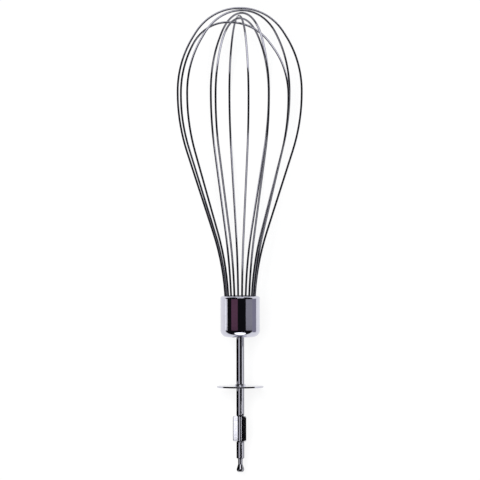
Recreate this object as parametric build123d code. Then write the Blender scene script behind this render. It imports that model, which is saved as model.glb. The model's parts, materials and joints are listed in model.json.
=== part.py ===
from build123d import *
import os
from math import atan2, cos, degrees, radians, sin, tan

# Whisk attachment of a hand blender. Sizes are in millimetres and degrees.
# Each piece is made upright on the bench: the axis is Z, the drive tip stands at Z = 0, the balloon is up.
# The finished set is then laid down as it comes to rest, crown towards +Y, on two wires and the disc's rim.

# Drive shaft
shaft_diameter = 4.0
shaft_seat_depth = 14.0        # inside the wire holder
shaft_flat_width = 3.2         # across the two flats that take the torque in the holder
shaft_flat_length = 10.0
tip_diameter = 3.9             # the bell-shaped end that the drive's spring clip snaps over
tip_face_diameter = 1.8
tip_round_height = 1.4         # from the end to the widest part of the bell
bell_height = 2.6              # from the widest part up to the neck
neck_diameter = 2.35
neck_length = 2.7
shoulder_chamfer_height = 0.6  # from the neck out to the full shaft

# Three lugs pinched out of the shaft, which key it to the drive
lug_count = 3
lug_reach = 3.9                # from the axis
lug_thickness = 1.0
lug_length = 13.0
lug_start = 16.0               # above the drive tip
lug_corner = 0.7               # bevel at the outer corners
lug_root_radius = 0.4
pinch_diameter = 3.4           # core that the pinching leaves between the lugs
pinch_run_out = 0.5            # taper back to the full shaft past each end of the lugs
lug_angle = 67.5               # first lug, measured from the first wire's hole

# Splash disc on the shaft
disc_diameter = 24.3
disc_thickness = 0.9
disc_height = 43.9             # underside above the drive tip
disc_neck_wall = 0.75          # short neck drawn up around the bore
disc_neck_height = 0.9
disc_neck_fillet = 0.4
disc_rim_radius = 0.15

# Ferrule, a drawn cup
ferrule_diameter = 20.6
ferrule_base_height = 70.2     # underside above the drive tip
ferrule_length = 21.4
ferrule_wall = 0.8
ferrule_base_radius = 3.6      # outside of the drawn corner
lip_radius = 1.2               # outside of the rolled lip
lip_width = 1.35               # how far the lip turns in

# Wire holder, the plug inside the ferrule
holder_recess = 0.3            # top of the plug below the lip
wire_seat_depth = 11.0

# Wire loops
wire_diameter = 1.1
loop_count = 6
leg_circle_radius = 7.75       # where the legs cross the ferrule's mouth, to the middle of the wire
leg_lean = 4.0                 # of each leg and its hole, outwards
balloon_radius = 32.7          # widest part, to the middle of the wire
straight_rise = 1.0            # straight wire above the ferrule's mouth
foot_rise = 17.5               # corner above the mouth where a leg leans out further
hip_rise = 90.1                # corner above the mouth where the leg turns upright
crown_rise = 149.7             # crown of the uppermost loop above the mouth
crown_half_width = 15.0        # corner beside the crown, from the axis
shoulder_drop = 27.4           # corner below the crown where the leg turns in
shoulder_follow = 0.5          # share of a loop's drop that its shoulders take

# How each loop was bent by hand: its crown's drop below the first, the swing of its first and second leg
# around the balloon, and the lean of its crown towards its first leg
loop_bends = [
    (0.0, 2, 2, 0.0),
    (1.2, 0, -4, 1.3),
    (5.3, -5, 0, -1.5),
    (4.0, 2, 0.5, 0.0),
    (2.5, -10, -10, -3.0),
    (7.4, 2, -17, 4.5),
]
resting_loops = (2, 3)         # places in the list of the two loops whose first legs lie on the surface

# Fits
wire_clearance = 0.03
shaft_clearance = 0.03
disc_clearance = 0.02
ferrule_hole_clearance = 0.10
holder_clearance = 0.05
holder_corner_gap = 0.4        # of the plug's bevel past the drawn corner inside the cup
seat_end_gap = 0.10            # below the end of a wire or shaft in its blind hole

# How a wire's bends share a run between two corners
bend_share = 0.49

# Heights and radii that follow from the sizes above
shaft_radius = shaft_diameter / 2
wire_radius = wire_diameter / 2
ferrule_radius = ferrule_diameter / 2
cup_radius = ferrule_radius - ferrule_wall
lip_opening_radius = ferrule_radius - lip_width
mouth_height = ferrule_base_height + ferrule_length
holder_base = ferrule_base_height + ferrule_wall
holder_top = mouth_height - holder_recess
holder_corner = ferrule_base_radius - ferrule_wall + holder_corner_gap
shaft_end = holder_base + shaft_seat_depth
wire_root = holder_top - wire_seat_depth


def turned(outline):
    """Revolves a closed outline of (radius, height) lines about the axis."""
    return revolve(Plane.XZ * make_face(outline), Axis.Z)


def make_drive_shaft():
    """Rod with a bell tip, a neck, three pinched lugs and two flats at its inner end."""
    widest = tip_round_height
    neck_start = widest + bell_height
    neck_end = neck_start + neck_length
    shoulder = neck_end + shoulder_chamfer_height
    lug_end = lug_start + lug_length
    end_round = EllipticalCenterArc(
        (tip_face_diameter / 2, widest),
        (tip_diameter - tip_face_diameter) / 2,
        widest,
        start_angle=-90,
        arc_size=90,
    )
    profile = Polyline(
        (tip_diameter / 2, widest),
        (neck_diameter / 2, neck_start),
        (neck_diameter / 2, neck_end),
        (shaft_radius, shoulder),
        (shaft_radius, lug_start - pinch_run_out),
        (pinch_diameter / 2, lug_start),
        (pinch_diameter / 2, lug_end),
        (shaft_radius, lug_end + pinch_run_out),
        (shaft_radius, shaft_end),
        (0, shaft_end),
        (0, 0),
        (tip_face_diameter / 2, 0),
    )
    rod = turned(end_round + profile)

    star = Circle(pinch_diameter / 2)
    for fin in PolarLocations(0, lug_count, lug_angle):
        star += fin * Rectangle(lug_reach, lug_thickness, align=(Align.MIN, Align.CENTER))
    roots = [v for v in star.vertices() if v.center().length < shaft_radius]
    star = fillet(roots, lug_root_radius)
    envelope = turned(Polyline(
        (0, lug_start),
        (lug_reach - lug_corner, lug_start),
        (lug_reach + lug_thickness, lug_start + lug_corner + lug_thickness),
        (lug_reach + lug_thickness, lug_end - lug_corner - lug_thickness),
        (lug_reach - lug_corner, lug_end),
        (0, lug_end),
        close=True,
    ))
    lugs = (Pos(Z=lug_start) * extrude(star, lug_length)) & envelope

    beside_flat = (Align.CENTER, Align.MIN, Align.MAX)
    flat_cut = Box(shaft_diameter, shaft_diameter, shaft_flat_length, align=beside_flat)
    flat_cut = Pos(0, shaft_flat_width / 2, shaft_end) * flat_cut
    return rod + lugs - flat_cut - flat_cut.mirror(Plane.XZ)


def make_splash_disc():
    """Stamped washer with a short neck drawn up around its bore."""
    bore = shaft_radius + disc_clearance
    neck = bore + disc_neck_wall
    top = disc_height + disc_thickness
    section = make_face(Polyline(
        (bore, disc_height),
        (disc_diameter / 2, disc_height),
        (disc_diameter / 2, top),
        (neck, top),
        (neck, top + disc_neck_height),
        (bore, top + disc_neck_height),
        close=True,
    ))
    rim = section.vertices().group_by(Axis.X)[-1]
    section = fillet(rim, disc_rim_radius)
    root = section.vertices().sort_by_distance((neck, top))[0]
    section = fillet(root, disc_neck_fillet)
    return revolve(Plane.XZ * section, Axis.Z)


def make_ferrule_cup():
    """Drawn cup of even wall, with a hole for the shaft and a lip rolled in at its mouth."""
    hole = shaft_radius + ferrule_hole_clearance
    outside = FilletPolyline(
        (hole, ferrule_base_height),
        (ferrule_radius, ferrule_base_height),
        (ferrule_radius, mouth_height),
        (lip_opening_radius, mouth_height),
        radius=[ferrule_base_radius, lip_radius],
    )
    inside = FilletPolyline(
        (lip_opening_radius, mouth_height - ferrule_wall),
        (cup_radius, mouth_height - ferrule_wall),
        (cup_radius, holder_base),
        (hole, holder_base),
        radius=[lip_radius - ferrule_wall, ferrule_base_radius - ferrule_wall],
    )
    edge = Line(outside @ 1, inside @ 0)
    bore = Line(inside @ 1, outside @ 0)
    return turned(outside + edge + inside + bore)


def make_wire_holder():
    """Plug that fills the cup, with a blind hole for each leg and a flatted socket for the shaft."""
    body_radius = cup_radius - holder_clearance
    spigot_radius = lip_opening_radius - holder_clearance
    shelf = mouth_height - ferrule_wall - holder_clearance
    shelf_corner = lip_radius - ferrule_wall
    plug = turned(Polyline(
        (0, holder_base),
        (body_radius - holder_corner, holder_base),
        (body_radius, holder_base + holder_corner),
        (body_radius, shelf - shelf_corner),
        (body_radius - shelf_corner, shelf),
        (spigot_radius, shelf),
        (spigot_radius, holder_top),
        (0, holder_top),
        close=True,
    ))
    hole_length = wire_seat_depth / cos(radians(leg_lean)) + seat_end_gap + holder_recess
    hole = extrude(Circle(wire_radius + wire_clearance), hole_length, both=True)
    for leg in PolarLocations(leg_circle_radius, 2 * loop_count):
        plug -= Pos(Z=mouth_height) * leg * Rot(Y=leg_lean) * hole
    socket_radius = shaft_radius + shaft_clearance
    socket = Circle(socket_radius)
    key = socket & Rectangle(2 * socket_radius, shaft_flat_width + 2 * shaft_clearance)
    round_depth = shaft_seat_depth - shaft_flat_length
    plug -= Pos(Z=holder_base) * extrude(socket, round_depth)
    plug -= Pos(Z=holder_base) * extrude(key, shaft_seat_depth + seat_end_gap)
    return plug


def around(radius, angle, height):
    """Point at a radius and an angle about the axis."""
    return Vector(radius * cos(radians(angle)), radius * sin(radians(angle)), height)


def loop_corners(number):
    """Corners of a loop's wire, from the root of its first leg over the crown to the root of its second."""
    drop, first_swing, second_swing, lean = loop_bends[number]
    crown = mouth_height + crown_rise - drop
    shoulder = mouth_height + crown_rise - shoulder_drop - drop * shoulder_follow
    first_hole = number * 180 / loop_count
    legs = []
    spread = tan(radians(leg_lean))
    root_radius = leg_circle_radius - (mouth_height - wire_root) * spread
    foot_radius = leg_circle_radius + foot_rise * spread
    for hole, swing, crown_reach in (
        (first_hole, first_swing, crown_half_width + lean),
        (first_hole + 180, second_swing, crown_half_width - lean),
    ):
        legs.append([
            around(root_radius, hole, wire_root),
            around(foot_radius, hole, mouth_height + foot_rise),
            around(balloon_radius, hole + swing, mouth_height + hip_rise),
            around(balloon_radius, hole + swing, shoulder),
            around(crown_reach, hole + swing, crown),
        ])
    return legs[0] + legs[1][::-1]


def loop_path(number):
    """Middle line of a loop: straight runs joined by bends as wide as the runs allow."""
    corners = loop_corners(number)
    runs = [end - start for start, end in zip(corners, corners[1:])]
    rooms = [run.length * bend_share for run in runs]
    rooms[0] = rooms[-1] = foot_rise - straight_rise
    radii = []
    for place in range(len(runs) - 1):
        half_turn = radians(runs[place].get_angle(runs[place + 1])) / 2
        radii.append(min(rooms[place], rooms[place + 1]) / tan(half_turn))
    return FilletPolyline(*corners, radius=radii)


def make_wire_loop(number):
    """Round wire along a loop's middle line."""
    path = loop_path(number)
    return sweep(Plane(path @ 0, z_dir=path % 0) * Circle(wire_radius), path=path)


def resting_place():
    """Turn that lays the upright whisk on its two resting legs and the rim of the disc."""
    first_legs = [loop_corners(number)[2] for number in resting_loops]
    roll = 90 - sum(degrees(atan2(hip.Y, hip.X)) for hip in first_legs) / len(first_legs)
    rolled = Rot(Z=roll)
    step_count = 400
    points = []
    for number in resting_loops:
        path = rolled * loop_path(number)
        points += [path.position_at(step / step_count) for step in range(step_count)]
    tilt = 0.0
    round_count = 8
    for _ in range(round_count):
        contact = max(points, key=lambda point: point.Y - point.Z * tan(tilt))
        sag = contact.Y + wire_radius / cos(tilt) - disc_diameter / 2
        tilt = atan2(sag, contact.Z - disc_height)
    return Rot(X=degrees(tilt) - 90) * rolled


pieces = {
    "drive_shaft": make_drive_shaft(),
    "splash_disc": make_splash_disc(),
    "ferrule_cup": make_ferrule_cup(),
    "wire_holder": make_wire_holder(),
}
for number in range(loop_count):
    pieces[f"wire_loop_{number + 1}"] = make_wire_loop(number)

# Laid down, with the origin on the surface under the middle of the whisk
lying = resting_place()
pieces = {name: lying * piece for name, piece in pieces.items()}
extent = Compound(list(pieces.values())).bounding_box()
centred = Pos(-extent.center().X, -extent.center().Y, -extent.min.Z)

os.makedirs("parts", exist_ok=True)
for name, piece in pieces.items():
    export_step(centred * piece, f"parts/{name}.step")
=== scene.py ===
import json
from math import atan2, cos, degrees, hypot, pi, radians, sin, tan
import bmesh
import bpy
from mathutils import Matrix, Vector


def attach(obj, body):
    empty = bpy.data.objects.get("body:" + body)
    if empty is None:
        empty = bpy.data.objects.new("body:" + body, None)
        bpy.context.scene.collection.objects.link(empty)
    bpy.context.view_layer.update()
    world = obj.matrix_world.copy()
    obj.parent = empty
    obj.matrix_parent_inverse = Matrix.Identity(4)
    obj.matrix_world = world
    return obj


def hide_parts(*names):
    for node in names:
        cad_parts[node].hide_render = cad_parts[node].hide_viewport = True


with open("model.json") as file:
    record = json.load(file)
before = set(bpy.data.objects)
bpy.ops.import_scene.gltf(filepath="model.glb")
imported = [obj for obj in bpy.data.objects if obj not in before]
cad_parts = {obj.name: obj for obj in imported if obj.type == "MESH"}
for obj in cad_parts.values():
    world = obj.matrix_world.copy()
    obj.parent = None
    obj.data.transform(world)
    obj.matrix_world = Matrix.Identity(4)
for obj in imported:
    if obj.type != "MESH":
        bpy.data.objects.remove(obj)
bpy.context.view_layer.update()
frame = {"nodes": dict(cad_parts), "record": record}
print("frame loaded:", len(frame["nodes"]), "nodes")

mm = 0.001

# The bench: each piece is modelled upright in millimetres, drive tip at 0 and balloon up, then laid down
bench = {
    "pinMiddle": 11.4,  # the record's mount, above the drive tip
    "roll": 16.5,  # degrees about the axis, which puts two wires and the disc's rim on the floor
}
mount = frame["record"]["mounts"][0]
toCrown = -Vector(mount["axis"]).normalized()
acrossX = Vector((1, 0, 0))
tipPoint = Vector(mount["pos_m"]) - toCrown * bench["pinMiddle"] * mm
layDown = Matrix((acrossX, toCrown.cross(acrossX), toCrown)).transposed().to_4x4()
layDown = Matrix.Translation(tipPoint) @ layDown
layDown = layDown @ Matrix.Rotation(radians(bench["roll"]), 4, "Z") @ Matrix.Scale(mm, 4)


def linear(hexColour):  # sRGB hex to the linear colour that the nodes take
    parts = [int(hexColour[place:place + 2], 16) / 255 for place in (1, 3, 5)]
    return [part / 12.92 if part <= 0.04045 else ((part + 0.055) / 1.055) ** 2.4 for part in parts] + [1.0]


def per(size):  # noise scale that gives patches of this many millimetres
    return 1 / (size * mm)


noiseSpan = {"From Min": 0.3, "From Max": 0.7}  # where nearly all of a noise lies


def addNode(tree, kind, settings, links):
    node = tree.nodes.new(kind)
    for name, value in settings.items():
        if isinstance(name, int) or name in node.inputs:
            node.inputs[name].default_value = value
        else:
            setattr(node, name, value)
    for name, source in links.items():
        tree.links.new(source, node.inputs[name])
    return node


def startTree(owner):
    owner.use_nodes = True
    owner.node_tree.nodes.clear()
    return owner.node_tree


def polishedSpringWire():  # drawn stainless wire, electropolished: a dark mirror with pale edges
    look = {
        # Painted shade: these wire colours are far darker than bare polished steel, standing in for the dark
        # surroundings that the wires reflect.
        "pale": "#74747C",
        "dull": "#66666E",
        "turned": "#F4F4F8",
        "patch": 7.0,  # mm
        "grain": 0.22,
        "smooth": 0.05,
        "rough": 0.12,
        "relief": 0.05,
        "depth": 0.01,  # mm
    }
    material = bpy.data.materials.new("polishedSpringWire")
    tree = startTree(material)
    place = addNode(tree, "ShaderNodeTexCoord", {}, {})
    patches = addNode(tree, "ShaderNodeTexNoise", {"Scale": per(look["patch"]), "Detail": 3.0},
                      {"Vector": place.outputs["Object"]})
    grain = addNode(tree, "ShaderNodeTexNoise", {"Scale": per(look["grain"]), "Detail": 2.0},
                    {"Vector": place.outputs["Object"]})
    colour = addNode(tree, "ShaderNodeMix",
                     {"data_type": "RGBA", 6: linear(look["pale"]), 7: linear(look["dull"])},
                     {0: patches.outputs["Fac"]})
    rough = addNode(tree, "ShaderNodeMapRange",
                    {**noiseSpan, "To Min": look["smooth"], "To Max": look["rough"]},
                    {"Value": patches.outputs["Fac"]})
    bump = addNode(tree, "ShaderNodeBump", {"Strength": look["relief"], "Distance": look["depth"] * mm},
                   {"Height": grain.outputs["Fac"]})
    steel = addNode(tree, "ShaderNodeBsdfPrincipled",
                    {"Metallic": 1.0, "Specular Tint": linear(look["turned"])},
                    {"Base Color": colour.outputs[2], "Roughness": rough.outputs["Result"],
                     "Normal": bump.outputs["Normal"]})
    addNode(tree, "ShaderNodeOutputMaterial", {}, {"Surface": steel.outputs["BSDF"]})
    return material


def drawnFerruleSteel():  # deep drawn stainless, buffed on a lathe: mirror with faint lines round it
    look = {
        "pale": "#D0D0DC",
        "dull": "#C5C5D1",
        "line": 0.35,  # mm
        "run": 14.0,
        "patch": 5.0,
        "smooth": 0.05,
        "rough": 0.11,
        "relief": 0.04,
        "depth": 0.01,  # mm
    }
    material = bpy.data.materials.new("drawnFerruleSteel")
    tree = startTree(material)
    place = addNode(tree, "ShaderNodeTexCoord", {}, {})
    along = addNode(tree, "ShaderNodeMapping",
                    {"Rotation": (-atan2(toCrown.z, toCrown.y), 0, 0),
                     "Scale": (per(look["run"]), per(look["line"]), per(look["run"]))},
                    {"Vector": place.outputs["Object"]})
    lines = addNode(tree, "ShaderNodeTexNoise", {"Scale": 1.0, "Detail": 3.0},
                    {"Vector": along.outputs["Vector"]})
    patches = addNode(tree, "ShaderNodeTexNoise", {"Scale": per(look["patch"]), "Detail": 3.0},
                      {"Vector": place.outputs["Object"]})
    colour = addNode(tree, "ShaderNodeMix",
                     {"data_type": "RGBA", 6: linear(look["pale"]), 7: linear(look["dull"])},
                     {0: patches.outputs["Fac"]})
    rough = addNode(tree, "ShaderNodeMapRange",
                    {**noiseSpan, "To Min": look["smooth"], "To Max": look["rough"]},
                    {"Value": lines.outputs["Fac"]})
    bump = addNode(tree, "ShaderNodeBump", {"Strength": look["relief"], "Distance": look["depth"] * mm},
                   {"Height": lines.outputs["Fac"]})
    steel = addNode(tree, "ShaderNodeBsdfPrincipled", {"Metallic": 1.0},
                    {"Base Color": colour.outputs[2], "Roughness": rough.outputs["Result"],
                     "Normal": bump.outputs["Normal"]})
    addNode(tree, "ShaderNodeOutputMaterial", {}, {"Surface": steel.outputs["BSDF"]})
    return material


def groundShaftSteel():  # centreless ground rod: bright, with fine rings where the wheel ran
    look = {
        # Painted shade: these rod colours are darker than bare ground steel, and the near black grazing tint
        # darkens the rod's edges in the mirror.
        "pale": "#A8A8B0",
        "dull": "#98989F",
        "turned": "#2A2A2E",
        "ring": 0.25,  # mm
        "run": 6.0,
        "patch": 3.0,
        "smooth": 0.05,
        "rough": 0.13,
        "relief": 0.08,
        "depth": 0.01,  # mm
    }
    material = bpy.data.materials.new("groundShaftSteel")
    tree = startTree(material)
    place = addNode(tree, "ShaderNodeTexCoord", {}, {})
    along = addNode(tree, "ShaderNodeMapping",
                    {"Rotation": (-atan2(toCrown.z, toCrown.y), 0, 0),
                     "Scale": (per(look["run"]), per(look["ring"]), per(look["run"]))},
                    {"Vector": place.outputs["Object"]})
    rings = addNode(tree, "ShaderNodeTexNoise", {"Scale": 1.0, "Detail": 4.0},
                    {"Vector": along.outputs["Vector"]})
    patches = addNode(tree, "ShaderNodeTexNoise", {"Scale": per(look["patch"]), "Detail": 3.0},
                      {"Vector": place.outputs["Object"]})
    colour = addNode(tree, "ShaderNodeMix",
                     {"data_type": "RGBA", 6: linear(look["pale"]), 7: linear(look["dull"])},
                     {0: patches.outputs["Fac"]})
    rough = addNode(tree, "ShaderNodeMapRange",
                    {**noiseSpan, "To Min": look["smooth"], "To Max": look["rough"]},
                    {"Value": rings.outputs["Fac"]})
    bump = addNode(tree, "ShaderNodeBump", {"Strength": look["relief"], "Distance": look["depth"] * mm},
                   {"Height": rings.outputs["Fac"]})
    steel = addNode(tree, "ShaderNodeBsdfPrincipled",
                    {"Metallic": 1.0, "Specular Tint": linear(look["turned"])},
                    {"Base Color": colour.outputs[2], "Roughness": rough.outputs["Result"],
                     "Normal": bump.outputs["Normal"]})
    addNode(tree, "ShaderNodeOutputMaterial", {}, {"Surface": steel.outputs["BSDF"]})
    return material


def tumbledDiscSteel():  # blanked sheet, tumbled in stones: a soft mirror covered in short fine scratches
    look = {
        "pale": "#D0D0DA",
        "dull": "#B9B9C4",
        "scratch": 0.3,  # mm
        "patch": 4.0,
        "smooth": 0.04,
        "rough": 0.1,
        "relief": 0.04,
        "depth": 0.01,  # mm
    }
    material = bpy.data.materials.new("tumbledDiscSteel")
    tree = startTree(material)
    place = addNode(tree, "ShaderNodeTexCoord", {}, {})
    scratches = addNode(tree, "ShaderNodeTexNoise",
                        {"Scale": per(look["scratch"]), "Detail": 4.0, "Distortion": 1.5},
                        {"Vector": place.outputs["Object"]})
    patches = addNode(tree, "ShaderNodeTexNoise", {"Scale": per(look["patch"]), "Detail": 4.0},
                      {"Vector": place.outputs["Object"]})
    colour = addNode(tree, "ShaderNodeMix",
                     {"data_type": "RGBA", 6: linear(look["pale"]), 7: linear(look["dull"])},
                     {0: patches.outputs["Fac"]})
    rough = addNode(tree, "ShaderNodeMapRange",
                    {**noiseSpan, "To Min": look["smooth"], "To Max": look["rough"]},
                    {"Value": scratches.outputs["Fac"]})
    bump = addNode(tree, "ShaderNodeBump", {"Strength": look["relief"], "Distance": look["depth"] * mm},
                   {"Height": scratches.outputs["Fac"]})
    steel = addNode(tree, "ShaderNodeBsdfPrincipled", {"Metallic": 1.0},
                    {"Base Color": colour.outputs[2], "Roughness": rough.outputs["Result"],
                     "Normal": bump.outputs["Normal"]})
    addNode(tree, "ShaderNodeOutputMaterial", {}, {"Surface": steel.outputs["BSDF"]})
    return material


def mouldedNylon():  # glass filled nylon: near black, dull, with a fine sparked skin from the mould
    look = {
        "dark": "#1B1B1D",
        "worn": "#2A2A2C",
        "spark": 0.18,  # mm
        "patch": 3.0,
        "smooth": 0.42,
        "rough": 0.58,
        "relief": 0.25,
        "depth": 0.03,  # mm
    }
    material = bpy.data.materials.new("mouldedNylon")
    tree = startTree(material)
    place = addNode(tree, "ShaderNodeTexCoord", {}, {})
    spark = addNode(tree, "ShaderNodeTexNoise", {"Scale": per(look["spark"]), "Detail": 3.0},
                    {"Vector": place.outputs["Object"]})
    patches = addNode(tree, "ShaderNodeTexNoise", {"Scale": per(look["patch"]), "Detail": 4.0},
                      {"Vector": place.outputs["Object"]})
    colour = addNode(tree, "ShaderNodeMix",
                     {"data_type": "RGBA", 6: linear(look["dark"]), 7: linear(look["worn"])},
                     {0: patches.outputs["Fac"]})
    rough = addNode(tree, "ShaderNodeMapRange",
                    {**noiseSpan, "To Min": look["smooth"], "To Max": look["rough"]},
                    {"Value": spark.outputs["Fac"]})
    bump = addNode(tree, "ShaderNodeBump", {"Strength": look["relief"], "Distance": look["depth"] * mm},
                   {"Height": spark.outputs["Fac"]})
    nylon = addNode(tree, "ShaderNodeBsdfPrincipled", {"IOR": 1.53},
                    {"Base Color": colour.outputs[2], "Roughness": rough.outputs["Result"],
                     "Normal": bump.outputs["Normal"]})
    addNode(tree, "ShaderNodeOutputMaterial", {}, {"Surface": nylon.outputs["BSDF"]})
    return material


wireSteel = polishedSpringWire()
ferruleSteel = drawnFerruleSteel()
shaftSteel = groundShaftSteel()
discSteel = tumbledDiscSteel()
holderNylon = mouldedNylon()
print("materials mixed")


def editPrimitive(name):  # the primitive just added, with its place in its mesh, open for editing
    piece = bpy.context.object
    piece.name = name
    bpy.ops.object.transform_apply(location=True, rotation=True, scale=True)
    bpy.ops.object.mode_set(mode="EDIT")
    bpy.ops.mesh.select_mode(type="FACE")
    bpy.ops.mesh.select_all(action="SELECT")
    return piece


def pickFaces(piece, test):
    bpy.ops.mesh.select_mode(type="FACE")
    bpy.ops.mesh.select_all(action="DESELECT")
    mesh = bmesh.from_edit_mesh(piece.data)
    mesh.normal_update()
    for face in mesh.faces:
        face.select_set(test(face.calc_center_median(), face.normal))
    bmesh.update_edit_mesh(piece.data)


def pickEdges(piece, test):
    bpy.ops.mesh.select_mode(type="EDGE")
    bpy.ops.mesh.select_all(action="DESELECT")
    mesh = bmesh.from_edit_mesh(piece.data)
    for edge in mesh.edges:
        edge.select_set(test(edge.verts[0].co, edge.verts[1].co))
    bmesh.update_edit_mesh(piece.data)


near = 0.02  # mm within which two places count as one


def onCircle(point, radius, height):  # whether a point lies on a circle about the axis
    return abs(hypot(point.x, point.y) - radius) < near and abs(point.z - height) < near


def addRing(height):  # an edge loop round the whole piece
    bpy.ops.mesh.select_all(action="SELECT")
    bpy.ops.mesh.bisect(plane_co=(0, 0, height), plane_no=(0, 0, 1))


pieces = {}


def layPiece(piece, node, material, sharpAngle):
    bpy.ops.object.mode_set(mode="OBJECT")
    bpy.ops.object.shade_smooth_by_angle(angle=radians(sharpAngle))
    piece.matrix_world = layDown
    bpy.ops.object.transform_apply(location=True, rotation=True, scale=True)
    piece.data.materials.append(material)
    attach(piece, "root")
    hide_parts(node)
    pieces[piece.name] = piece
    print(piece.name, "laid down,", len(piece.data.polygons), "faces")
    bpy.ops.object.select_all(action="DESELECT")


bpy.ops.object.select_all(action="DESELECT")

# Wire loops, bent as on a wire bender: straight runs are extruded and bends are spun
wire = {
    "diameter": 1.1,
    "sides": 20,
    "stepAngle": 2.0,  # degrees of bend between two rings
    "legCircle": 7.75,  # where the legs cross the ferrule's mouth
    "legLean": 4.0,  # degrees outwards
    "rootHeight": 80.3,  # inner end of the wires
    "mouthHeight": 91.6,  # of the ferrule
    "balloonRadius": 32.7,
    "straightRise": 1.0,
    "footRise": 17.5,
    "hipRise": 90.1,
    "crownRise": 149.7,
    "crownHalfWidth": 15.0,
    "shoulderDrop": 27.4,
    "shoulderFollow": 0.5,
    "bendShare": 0.49,
    "sharp": 60,  # degrees past which an edge shows
    # crown's drop, swing of the first and second leg in degrees, lean of the crown to the first leg
    "handBends": [
        (0.0, 2, 2, 0.0),
        (1.2, 0, -4, 1.3),
        (5.3, -5, 0, -1.5),
        (4.0, 2, 0.5, 0.0),
        (2.5, -10, -10, -3.0),
        (7.4, 2, -17, 4.5),
    ],
}


def around(radius, angle, height):
    return Vector((radius * cos(radians(angle)), radius * sin(radians(angle)), height))


def loopCorners(number):  # root of the first leg, over the crown, to the root of the second
    drop, firstSwing, secondSwing, lean = wire["handBends"][number]
    crown = wire["mouthHeight"] + wire["crownRise"] - drop
    shoulder = wire["mouthHeight"] + wire["crownRise"] - wire["shoulderDrop"] - drop * wire["shoulderFollow"]
    hole = number * 180 / len(wire["handBends"])
    spread = tan(radians(wire["legLean"]))
    rootRadius = wire["legCircle"] - (wire["mouthHeight"] - wire["rootHeight"]) * spread
    footRadius = wire["legCircle"] + wire["footRise"] * spread
    legs = []
    for hole, swing, crownReach in (
        (hole, firstSwing, wire["crownHalfWidth"] + lean),
        (hole + 180, secondSwing, wire["crownHalfWidth"] - lean),
    ):
        legs.append([
            around(rootRadius, hole, wire["rootHeight"]),
            around(footRadius, hole, wire["mouthHeight"] + wire["footRise"]),
            around(wire["balloonRadius"], hole + swing, wire["mouthHeight"] + wire["hipRise"]),
            around(wire["balloonRadius"], hole + swing, shoulder),
            around(crownReach, hole + swing, crown),
        ])
    return legs[0] + legs[1][::-1]


def bendWire(number):
    corners = loopCorners(number)
    runs = [end - start for start, end in zip(corners, corners[1:])]
    rooms = [run.length * wire["bendShare"] for run in runs]
    rooms[0] = rooms[-1] = wire["footRise"] - wire["straightRise"]
    bpy.ops.mesh.primitive_circle_add(
        vertices=wire["sides"], radius=wire["diameter"] / 2, fill_type="NGON", location=corners[0],
        rotation=runs[0].to_track_quat("Z", "Y").to_euler())
    loop = editPrimitive(f"wireLoop{number + 1}")
    spent = 0.0  # what the last bend took of the run
    for place, corner in enumerate(corners[1:-1]):
        run, nextRun = runs[place], runs[place + 1]
        room = min(rooms[place], rooms[place + 1])
        forward = run.normalized()
        bpy.ops.mesh.extrude_region_move(
            TRANSFORM_OT_translate={"value": forward * (run.length - spent - room)})
        turn = run.angle(nextRun)
        axis = run.cross(nextRun).normalized()
        middle = corner - forward * room + axis.cross(forward) * room / tan(turn / 2)
        steps = max(4, round(degrees(turn) / wire["stepAngle"]))
        bpy.ops.mesh.spin(steps=steps, angle=-turn, center=middle, axis=axis)
        spent = room
    bpy.ops.mesh.extrude_region_move(
        TRANSFORM_OT_translate={"value": runs[-1].normalized() * (runs[-1].length - spent)})
    bpy.ops.mesh.select_all(action="SELECT")
    bpy.ops.mesh.normals_make_consistent(inside=False)
    layPiece(loop, f"wire_loop_{number + 1}", wireSteel, wire["sharp"])


for number in range(len(wire["handBends"])):
    bendWire(number)

# Ferrule, a drawn cup: cylinder, inset mouth and base, rounded corners, then the wall
ferrule = {
    "diameter": 20.6,
    "baseHeight": 70.2,
    "length": 21.4,
    "wall": 0.8,
    "baseRadius": 3.6,
    "lipRadius": 1.2,
    "lipWidth": 1.35,
    "shaftHole": 4.2,
    "baseSteps": 12,
    "lipSteps": 10,
    "edge": 0.12,
    "edgeSteps": 3,
    "edgeAngle": 60,
    "sharp": 40,
    "guard": 0.2,  # spare rings beside the round corners keep the body straight in the mirror
    "sides": 128,
}


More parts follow.
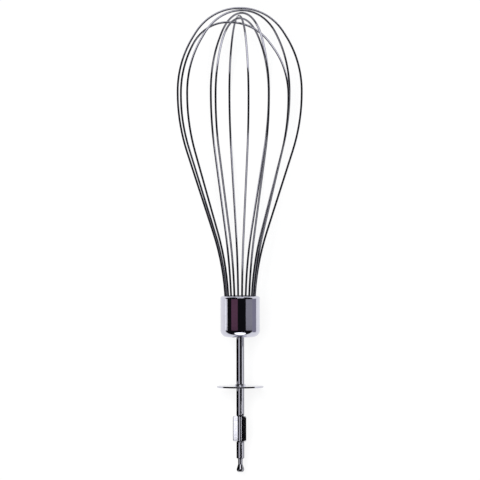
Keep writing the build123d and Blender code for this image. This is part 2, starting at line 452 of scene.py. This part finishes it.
def drawFerrule():
    radius = ferrule["diameter"] / 2
    base = ferrule["baseHeight"]
    mouth = base + ferrule["length"]
    bpy.ops.mesh.primitive_cylinder_add(
        vertices=ferrule["sides"], radius=radius, depth=ferrule["length"], location=(0, 0, (base + mouth) / 2))
    cup = editPrimitive("ferrule")
    pickFaces(cup, lambda middle, normal: normal.z > 0.9)
    bpy.ops.mesh.inset(thickness=ferrule["lipWidth"])
    bpy.ops.mesh.delete(type="FACE")
    pickFaces(cup, lambda middle, normal: normal.z < -0.9)
    bpy.ops.mesh.inset(thickness=radius - ferrule["shaftHole"] / 2)
    bpy.ops.mesh.delete(type="FACE")
    pickEdges(cup, lambda a, b: onCircle(a, radius, base) and onCircle(b, radius, base))
    bpy.ops.mesh.bevel(offset=ferrule["baseRadius"], segments=ferrule["baseSteps"], profile=0.5)
    pickEdges(cup, lambda a, b: onCircle(a, radius, mouth) and onCircle(b, radius, mouth))
    bpy.ops.mesh.bevel(offset=ferrule["lipRadius"], segments=ferrule["lipSteps"], profile=0.5)
    addRing(base + ferrule["baseRadius"] + ferrule["guard"])
    addRing(mouth - ferrule["lipRadius"] - ferrule["guard"])
    bpy.ops.object.mode_set(mode="OBJECT")
    wall = cup.modifiers.new("wall", "SOLIDIFY")
    wall.thickness = ferrule["wall"]
    wall.offset = -1
    bpy.ops.object.modifier_apply(modifier="wall")
    edges = cup.modifiers.new("edges", "BEVEL")
    edges.width = ferrule["edge"]
    edges.segments = ferrule["edgeSteps"]
    edges.limit_method = "ANGLE"
    edges.angle_limit = radians(ferrule["edgeAngle"])
    bpy.ops.object.modifier_apply(modifier="edges")
    layPiece(cup, "ferrule_cup", ferruleSteel, ferrule["sharp"])


drawFerrule()

# Splash disc, a stamped washer with a short neck drawn up round its bore
disc = {
    "diameter": 24.3,
    "thickness": 0.9,
    "height": 43.9,  # underside above the drive tip
    "bore": 4.04,
    "neckWall": 0.75,
    "neckHeight": 0.9,
    "neckFillet": 0.4,
    "rimRadius": 0.15,
    "roundSteps": 6,
    "edge": 0.1,
    "edgeSteps": 3,
    "sharp": 40,
    "guard": 0.15,
    "sides": 128,
}


def stampDisc():
    radius = disc["diameter"] / 2
    bore = disc["bore"] / 2
    neck = bore + disc["neckWall"]
    under = disc["height"]
    top = under + disc["thickness"]
    neckTop = top + disc["neckHeight"]
    bpy.ops.mesh.primitive_cylinder_add(
        vertices=disc["sides"], radius=radius, depth=disc["thickness"], location=(0, 0, (under + top) / 2))
    washer = editPrimitive("splashDisc")
    pickFaces(washer, lambda middle, normal: normal.z > 0.9)
    bpy.ops.mesh.inset(thickness=radius - neck)
    bpy.ops.mesh.extrude_region_move(TRANSFORM_OT_translate={"value": (0, 0, disc["neckHeight"])})
    bpy.ops.mesh.inset(thickness=disc["neckWall"])
    bpy.ops.mesh.delete(type="FACE")
    pickFaces(washer, lambda middle, normal: normal.z < -0.9)
    bpy.ops.mesh.inset(thickness=radius - bore)
    bpy.ops.mesh.delete(type="FACE")
    pickEdges(washer, lambda a, b: hypot(a.x, a.y) < bore + 0.1 and hypot(b.x, b.y) < bore + 0.1)
    bpy.ops.mesh.bridge_edge_loops()
    pickEdges(washer, lambda a, b: min(hypot(a.x, a.y), hypot(b.x, b.y)) > radius - 0.05 and a.z == b.z)
    bpy.ops.mesh.bevel(offset=disc["rimRadius"], segments=disc["roundSteps"], profile=0.5)
    pickEdges(washer, lambda a, b: onCircle(a, neck, top) and onCircle(b, neck, top))
    bpy.ops.mesh.bevel(offset=disc["neckFillet"], segments=disc["roundSteps"], profile=0.5)
    pickEdges(washer, lambda a, b: min(a.z, b.z) > neckTop - near
              and abs(hypot(a.x, a.y) - hypot(b.x, b.y)) < 0.05)
    bpy.ops.mesh.bevel(offset=disc["edge"], segments=disc["edgeSteps"], profile=0.5)
    bpy.ops.mesh.select_all(action="SELECT")
    bpy.ops.mesh.normals_make_consistent(inside=False)
    for side in (1, -1):
        pickFaces(washer, lambda middle, normal: normal.z * side > 0.999
                  and hypot(middle.x, middle.y) > neck + 0.5)
        bpy.ops.mesh.inset(thickness=disc["guard"])
    layPiece(washer, "splash_disc", discSteel, disc["sharp"])


stampDisc()

# Drive shaft: a ring of the tip is drawn out up the rod, and the lugs are pulled out of its pinched core
shaft = {
    "sides": 30,
    "diameter": 4.0,
    "length": 85.0,
    "tipFace": 1.8,
    "tipDiameter": 3.9,
    "tipRound": 1.4,
    "tipSteps": 6,
    "bell": 2.6,
    "neckDiameter": 2.35,
    "neckLength": 2.7,
    "shoulder": 0.6,
    "coreDiameter": 3.4,
    "runOut": 0.5,
    "lugStart": 16.0,
    "lugLength": 13.0,
    "lugReach": 3.9,
    "lugSides": 3,  # sides of the rod that one lug takes
    "lugCount": 3,
    "lugAngle": 67.5,
    "lugCorner": 0.7,
    "cornerSteps": 3,
    "sharp": 40,
    "guard": 0.15,  # spare rings beside a corner keep the long faces straight in the mirror
}


def shaftRings():  # radius and height of each ring above the tip's face
    face = shaft["tipFace"] / 2
    swell = shaft["tipDiameter"] / 2 - face
    full = shaft["diameter"] / 2
    core = shaft["coreDiameter"] / 2
    neck = shaft["neckDiameter"] / 2
    rings = []
    for step in range(1, shaft["tipSteps"] + 1):
        turn = step / shaft["tipSteps"] * pi / 2
        rings.append((face + swell * sin(turn), shaft["tipRound"] * (1 - cos(turn))))
    neckStart = shaft["tipRound"] + shaft["bell"]
    neckEnd = neckStart + shaft["neckLength"]
    lugEnd = shaft["lugStart"] + shaft["lugLength"]
    rings += [
        (neck, neckStart),
        (neck, neckEnd),
        (full, neckEnd + shaft["shoulder"]),
        (full, shaft["lugStart"] - shaft["runOut"]),
        (core, shaft["lugStart"]),
        (core, lugEnd),
        (full, lugEnd + shaft["runOut"]),
        (full, shaft["length"]),
    ]
    return rings


def turnShaft():
    sideAngle = 360 / shaft["sides"]
    radius, height = shaft["tipFace"] / 2, 0.0
    bpy.ops.mesh.primitive_circle_add(
        vertices=shaft["sides"], radius=radius, fill_type="NGON",
        rotation=(0, 0, radians(shaft["lugAngle"] - 90 + sideAngle / 2)))
    rod = editPrimitive("driveShaft")
    for nextRadius, nextHeight in shaftRings():
        bpy.ops.mesh.extrude_region_move(TRANSFORM_OT_translate={"value": (0, 0, nextHeight - height)})
        grow = nextRadius / radius
        bpy.ops.transform.resize(value=(grow, grow, 1), center_override=(0, 0, nextHeight))
        radius, height = nextRadius, nextHeight
    bpy.ops.mesh.select_all(action="SELECT")
    bpy.ops.mesh.normals_make_consistent(inside=False)
    lugMiddle = shaft["lugStart"] + shaft["lugLength"] / 2
    core = shaft["coreDiameter"] / 2
    for lug in range(shaft["lugCount"]):
        angle = shaft["lugAngle"] + lug * 360 / shaft["lugCount"]
        outward = around(1, angle, 0)
        spread = cos(radians(sideAngle * shaft["lugSides"] / 2))
        pickFaces(rod, lambda middle, normal: abs(middle.z - lugMiddle) < 0.1 and normal.dot(outward) > spread)
        bpy.ops.mesh.extrude_region_move(
            TRANSFORM_OT_translate={"value": outward * (shaft["lugReach"] - core)})
    reach = (core + shaft["lugReach"]) / 2
    inLugs = lambda point: hypot(point.x, point.y) > reach
    pickEdges(rod, lambda a, b: inLugs(a) and inLugs(b) and abs(a.z - b.z) < 0.01)
    bpy.ops.mesh.bevel(offset=shaft["lugCorner"], segments=shaft["cornerSteps"], profile=0.5)
    for radius, height in shaftRings()[shaft["tipSteps"] - 1:-1]:
        for guard in (-shaft["guard"], shaft["guard"]):
            addRing(height + guard)
    addRing(shaft["length"] - shaft["guard"])
    layPiece(rod, "drive_shaft", shaftSteel, shaft["sharp"])


turnShaft()

frame["nodes"]["wire_holder"].data.materials[0] = holderNylon
print("pieces done")

# Studio: a pale floor under a dark ceiling, with small soft cards hung round the polished steel
studio = {
    "floor": "#F4F4F6",
    "floorGlow": 0.85,  # share of the floor's white that no shadow takes
    "floorSize": 8.0,
    "floorGrain": 3.0,  # mm
    "floorRelief": 0.05,
    "floorDepth": 0.05,  # mm
    "overheadHeight": 1.6,
    "overheadSize": 1.4,
    "overheadPower": 42.0,
    "white": "#FFFFFF",
    "ceiling": "#141316",
    "horizon": (3, 5),  # degrees up, where the white floor gives way to the dark ceiling
    "cardDistance": 250.0,  # mm from the axis
    # piece, low and high end above the drive tip in mm,
    # first and last angle right of the camera's line, colour, level
    "sideCards": {
        "shaftLight": ("driveShaft", -30, 75, 52, 82, "#F4F4F8", 1.5),
        "shaftShade": ("driveShaft", -30, 75, -52, -12, "#F0EEF4", 1.2),
        "lugLight": ("driveShaft", 3, 24, 26, 34, "#FFFFFF", 3.0),
        "ferruleLight": ("ferrule", 62, 86, 33, 82, "#E2DFEA", 0.42),
        "ferruleWarm": ("ferrule", 62, 86, -52, -14, "#D08CB0", 0.2),
        "ferruleEdge": ("ferrule", 62, 86, -95, -79, "#FFFFFF", 1.0),
    },
    # pieces, height of the spot that it lights and distance in mm,
    # first and last angle towards the crown, half its width as an angle, level
    "endCards": {
        "crownLight": ("wireLoop", 120, 1200, 36, 88, 65, 4.0),
        "neckLight": ("wireLoop", 120, 1200, -48, -22, 20, 3.0),
        "lipLight": ("ferrule", 120, 1200, 46, 64, 20, 2.4),
        "baseLight": ("ferrule", 73, 150, -70, -26, 28, 2.2),
        "tipLight": ("driveShaft", 3, 1200, 24, 42, 16, 2.4),
        "collarLight": ("splashDisc", 45, 1200, 20, 80, 20, 2.0),
        "middleLight": ("wireLoop4", 120, 1200, -48, -22, 45, 2.4),
    },
    # Painted reflections: cards that only glossy rays see. The black ones paint dark edges on the shaft, and
    # the pale one paints a pale band on the ferrule.
    # low and high end above the drive tip, place right of the axis,
    # bottom and top above the axis in mm, colour, level
    "reflectionCards": {
        "tipDarkReflection": (-2, 42, -4.2, -3.2, 1.9, "#000000", 0.0),
        "neckDarkReflection": (47, 69, -4.2, -3.2, 1.9, "#000000", 0.0),
        "lugDarkReflection": (15, 30, 8, -2, 5, "#000000", 0.0),
        "ferrulePaleReflection": (64, 92, 30, -6, 9, "#C8C4D8", 0.5),
    },
}


def paleFloor():
    material = bpy.data.materials.new("paleFloorPaper")
    tree = startTree(material)
    place = addNode(tree, "ShaderNodeTexCoord", {}, {})
    grain = addNode(tree, "ShaderNodeTexNoise", {"Scale": per(studio["floorGrain"]), "Detail": 3.0},
                    {"Vector": place.outputs["Object"]})
    bump = addNode(tree, "ShaderNodeBump",
                   {"Strength": studio["floorRelief"], "Distance": studio["floorDepth"] * mm},
                   {"Height": grain.outputs["Fac"]})
    paper = addNode(tree, "ShaderNodeBsdfDiffuse", {"Color": linear(studio["floor"])},
                    {"Normal": bump.outputs["Normal"]})
    glow = addNode(tree, "ShaderNodeEmission", {"Color": linear(studio["white"]), "Strength": 1.0}, {})
    rays = addNode(tree, "ShaderNodeLightPath", {}, {})
    seen = addNode(tree, "ShaderNodeMath", {"operation": "ADD"},
                   {0: rays.outputs["Is Camera Ray"], 1: rays.outputs["Is Glossy Ray"]})
    seen = addNode(tree, "ShaderNodeMath", {"operation": "ADD", "use_clamp": True},
                   {0: seen.outputs[0], 1: rays.outputs["Is Transmission Ray"]})
    share = addNode(tree, "ShaderNodeMath", {"operation": "MULTIPLY", 1: studio["floorGlow"]},
                    {0: seen.outputs[0]})
    both = addNode(tree, "ShaderNodeMixShader", {},
                   {0: share.outputs[0], 1: paper.outputs["BSDF"], 2: glow.outputs["Emission"]})
    addNode(tree, "ShaderNodeOutputMaterial", {}, {"Surface": both.outputs["Shader"]})
    return material


bpy.ops.mesh.primitive_plane_add(size=studio["floorSize"], location=(0, 0, 0))
floor = bpy.context.object
floor.name = "floor"
floor.data.materials.append(paleFloor())

world = bpy.data.worlds.new("studio")
bpy.context.scene.world = world
tree = startTree(world)
place = addNode(tree, "ShaderNodeTexCoord", {}, {})
ways = addNode(tree, "ShaderNodeSeparateXYZ", {}, {"Vector": place.outputs["Generated"]})
lowest, highest = [sin(radians(angle)) for angle in studio["horizon"]]
low = addNode(tree, "ShaderNodeMapRange", {"From Min": lowest, "From Max": highest},
              {"Value": ways.outputs["Z"]})
sky = addNode(tree, "ShaderNodeMix",
              {"data_type": "RGBA", 6: linear(studio["white"]), 7: linear(studio["ceiling"])},
              {0: low.outputs["Result"]})
light = addNode(tree, "ShaderNodeBackground", {"Strength": 1.0}, {"Color": sky.outputs[2]})
addNode(tree, "ShaderNodeOutputWorld", {}, {"Surface": light.outputs["Background"]})

# Camera over the whisk, looking along the photograph's line: crown up in the picture
view = {
    "roll": 9.0,  # degrees towards +X from straight above the axis
    "lift": 2.0,  # degrees towards the crown
    "middle": 120.7,  # mm above the drive tip in the middle of the picture
    "width": 249.6,  # mm across the picture
    "distance": 7.0,
    "cant": 0.1,  # degrees, the whisk leans to the left in the picture
}
above = acrossX.cross(toCrown)
facing = acrossX * sin(radians(view["roll"])) + above * cos(radians(view["roll"]))
lift = radians(view["lift"])
lookFrom = facing * cos(lift) + toCrown * sin(lift)
upward = toCrown * cos(lift) - facing * sin(lift)
target = tipPoint + toCrown * view["middle"] * mm
cameraData = bpy.data.cameras.new("camera")
cameraData.lens = cameraData.sensor_width * view["distance"] / (view["width"] * mm)
camera = bpy.data.objects.new("camera", cameraData)
bpy.context.scene.collection.objects.link(camera)
turned = Matrix((upward.cross(lookFrom), upward, lookFrom)).transposed().to_4x4()
canted = Matrix.Rotation(radians(-view["cant"]), 4, "Z")
camera.matrix_world = Matrix.Translation(target + lookFrom * view["distance"]) @ turned @ canted
bpy.context.scene.camera = camera

rightward = toCrown.cross(facing)


def hangLamp(name, shape, place, towards, across, size, sizeAcross, power):
    lampData = bpy.data.lights.new(name, "AREA")
    lampData.shape = shape
    lampData.size = sizeAcross
    lampData.size_y = size
    lampData.energy = power
    lamp = bpy.data.objects.new(name, lampData)
    bpy.context.scene.collection.objects.link(lamp)
    turned = Matrix((across, towards.cross(across), towards)).transposed().to_4x4()
    lamp.matrix_world = Matrix.Translation(place) @ turned
    lamp.visible_camera = False
    return lamp


def lightOnly(lamp, lit):  # the lamp lights the pieces whose names start so, and nothing else
    group = bpy.data.collections.new(lamp.name + "Pieces")
    for name, piece in pieces.items():
        if name.startswith(lit):
            group.objects.link(piece)
    lamp.light_linking.receiver_collection = group


# Painted reflection: the card casts no shadow and lights nothing, and only shows in the steel as a dark or
# pale reflection.
def standReflectionCard(name, lowEnd, highEnd, side, bottom, top, colour, level):  # a card that only the mirror sees
    bpy.ops.mesh.primitive_plane_add(size=1)
    reflectionCard = bpy.context.object
    reflectionCard.name = name
    middle = toCrown * (lowEnd + highEnd) / 2 + acrossX * side + above * (bottom + top) / 2
    length = (highEnd - lowEnd) * mm
    height = (top - bottom) * mm
    turned = Matrix((toCrown * length, above * height, acrossX)).transposed().to_4x4()
    reflectionCard.matrix_world = Matrix.Translation(tipPoint + middle * mm) @ turned
    material = bpy.data.materials.new(name + "Card")
    tree = startTree(material)
    card = addNode(tree, "ShaderNodeEmission", {"Color": linear(colour), "Strength": level}, {})
    addNode(tree, "ShaderNodeOutputMaterial", {}, {"Surface": card.outputs["Emission"]})
    reflectionCard.data.materials.append(material)
    reflectionCard.visible_camera = False
    reflectionCard.visible_diffuse = False
    reflectionCard.visible_shadow = False
    bpy.ops.object.select_all(action="DESELECT")


overhead = hangLamp("overheadBox", "RECTANGLE", Vector((0, 0, studio["overheadHeight"])),
                    Vector((0, 0, 1)), acrossX,
                    studio["overheadSize"], studio["overheadSize"], studio["overheadPower"])
overhead.visible_glossy = False  # lights the floor and the plug, and stays out of the mirror
for name, (lit, lowEnd, highEnd, firstAngle, lastAngle, colour, level) in studio["sideCards"].items():
    angle = radians((firstAngle + lastAngle) / 2)
    line = facing * cos(angle) + rightward * sin(angle)
    distance = studio["cardDistance"] * mm
    length = (highEnd - lowEnd) * mm
    width = 2 * distance * tan(radians(lastAngle - firstAngle) / 2)
    middle = tipPoint + toCrown * (lowEnd + highEnd) / 2 * mm
    card = hangLamp(name, "RECTANGLE", middle + line * distance, line, toCrown, width, length,
                    level * pi * length * width)
    card.data.color = linear(colour)[:3]
    lightOnly(card, lit)
for name, (lit, height, reach, firstAngle, lastAngle, halfWidth, level) in studio["endCards"].items():
    angle = radians((firstAngle + lastAngle) / 2)
    line = facing * cos(angle) + toCrown * sin(angle)
    distance = reach * mm
    length = 2 * distance * tan(radians(lastAngle - firstAngle) / 2)
    width = 2 * distance * tan(radians(halfWidth))
    spot = tipPoint + toCrown * height * mm
    card = hangLamp(name, "ELLIPSE", spot + line * distance, line, rightward, length, width,
                    level * pi * length * width * pi / 4)
    lightOnly(card, lit)
for name, (lowEnd, highEnd, side, bottom, top, colour, level) in studio["reflectionCards"].items():
    standReflectionCard(name, lowEnd, highEnd, side, bottom, top, colour, level)

bpy.context.scene.view_settings.view_transform = "Standard"
print("studio set")
